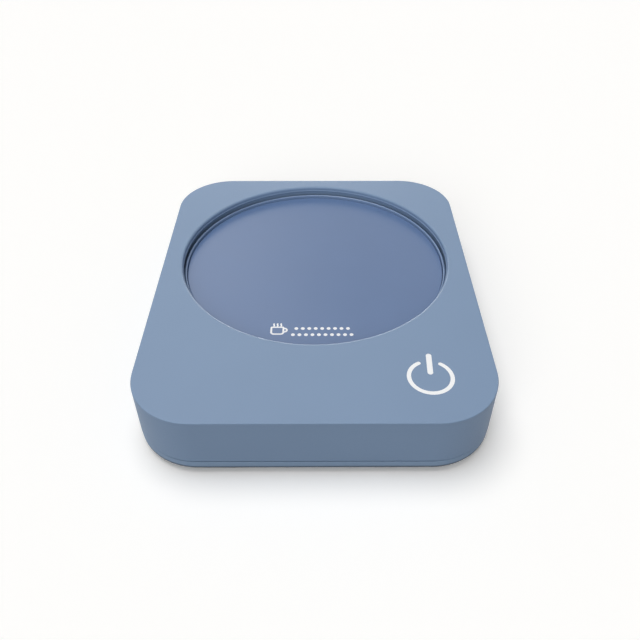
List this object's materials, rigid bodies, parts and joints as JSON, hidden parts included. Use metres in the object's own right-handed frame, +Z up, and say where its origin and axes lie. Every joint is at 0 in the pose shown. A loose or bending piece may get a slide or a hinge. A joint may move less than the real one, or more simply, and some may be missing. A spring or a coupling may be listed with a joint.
{
  "type": "electric mug warmer",
  "caption": "Flat desktop mug warmer: rounded rectangular housing with a round sunken heating plate at the back, a touch key at the front right and a rear power inlet.",
  "frame": {"origin": "under the middle of the body, on the surface that the feet stand on", "axes": "+Z up, +Y towards the back, where the heating plate and the power inlet are, +X towards the right, where the touch key is"},
  "size_m": [0.1102, 0.1348, 0.0225],
  "materials": {
    "cover_abs": "fine satin texture, blue-grey",
    "base_abs": "fine satin texture, blue-grey",
    "ring_pbt": "satin, blue-grey",
    "silicone": "matte, dark grey",
    "steel": "plated",
    "zinc_screw": "zinc plated",
    "painted_plate": "satin powder coat, blue-grey",
    "polyimide_film": "glossy amber film",
    "etched_track": "etched foil",
    "felt": "needled mineral felt",
    "fuse_body": "glazed body with tinned leads",
    "epoxy_black": "moulded epoxy",
    "circuit_board": "solder mask on glass laminate",
    "bare_aluminium": "drawn can",
    "nylon": "natural white nylon",
    "spring_copper": "coated spring wire",
    "lead_red": "insulated wire",
    "lead_white": "silicone insulated wire",
    "lead_black": "insulated wire",
    "foot_rubber": "matte grey rubber"
  },
  "bodies": {
    "root": {"top_cover": "cover_abs", "base_cover": "base_abs", "plate_ring": "ring_pbt", "ring_gasket": "silicone", "ring_screws": "steel", "heating_plate": "painted_plate", "heater_film": "polyimide_film", "heater_track": "etched_track", "insulation_pad": "felt", "heat_shield": "steel", "shield_screws": "steel", "lead_grommet": "silicone", "thermal_fuse": "fuse_body", "thermistor": "epoxy_black", "main_board": "circuit_board", "board_screws": "steel", "controller_chip": "epoxy_black", "power_transistor": "epoxy_black", "choke_coil": "epoxy_black", "capacitors": "bare_aluminium", "chip_resistors": "epoxy_black", "supply_connector": "nylon", "heater_connector": "nylon", "sensor_connector": "nylon", "touch_spring": "spring_copper", "light_shroud": "nylon", "key_leds": "nylon", "inlet_board": "circuit_board", "inlet_screws": "steel", "usb_socket_shell": "steel", "usb_socket_tongue": "epoxy_black", "supply_leads": "lead_red", "heater_leads": "lead_white", "sensor_leads": "lead_black", "case_screws": "zinc_screw", "rubber_feet": "foot_rubber"}
  },
  "joints": []
}
